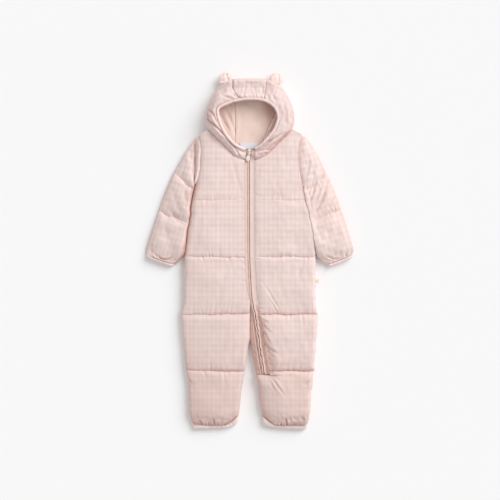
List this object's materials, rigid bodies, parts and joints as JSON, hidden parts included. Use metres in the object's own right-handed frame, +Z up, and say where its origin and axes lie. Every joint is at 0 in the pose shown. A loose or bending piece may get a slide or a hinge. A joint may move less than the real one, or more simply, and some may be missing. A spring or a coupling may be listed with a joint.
{
  "type": "baby snowsuit",
  "caption": "Padded baby snowsuit with a hood, small ears, long sleeves and full legs, quilted across and closed by a zip that runs on into one leg, lying flat, face up.",
  "frame": {"origin": "centre of the base, on the surface that the suit lies on", "axes": "+Y from the leg hems towards the hood, +Z up from the surface, +X towards the wearer's left side"},
  "size_m": [0.4827, 0.8187, 0.0486],
  "materials": {
    "checked_shell": "woven, finely checked, quilted over light padding",
    "hood_lining": "brushed jersey",
    "plain_binding": "plain woven, padded or elastic",
    "zip_tape": "woven tape with moulded coil",
    "zip_plastic": "moulded, satin",
    "label_satin": "satin, bare",
    "tag_ribbon": "folded ribbon, bare"
  },
  "bodies": {
    "suit": {"back_left": "checked_shell", "back_right": "checked_shell", "cuff_binding_left": "plain_binding", "cuff_binding_right": "plain_binding", "ear_left": "plain_binding", "ear_right": "plain_binding", "face_binding": "plain_binding", "front_left": "checked_shell", "front_right": "checked_shell", "hem_binding_left": "plain_binding", "hem_binding_right": "plain_binding", "hood_back": "checked_shell", "hood_centre": "checked_shell", "hood_left": "checked_shell", "hood_right": "checked_shell", "inner_leg_strip": "checked_shell", "lining_centre": "hood_lining", "lining_left": "hood_lining", "lining_right": "hood_lining", "neck_label": "label_satin", "side_tag": "tag_ribbon", "sleeve_left": "checked_shell", "sleeve_right": "checked_shell", "zip_chain": "zip_tape", "zip_placket": "plain_binding", "zip_slider": "zip_plastic", "zip_tape_left": "zip_tape", "zip_tape_right": "zip_tape"},
    "pull_tab": {"zip_pull": "zip_plastic"}
  },
  "joints": [
    {"name": "pull_tab_hinge", "type": "hinge", "parent": "suit", "child": "pull_tab", "pos_m": [-0.0014, 0.229, 0.0264], "axis": [-0.9962, 0.0872, 0], "range_deg": [0, 150]}
  ]
}
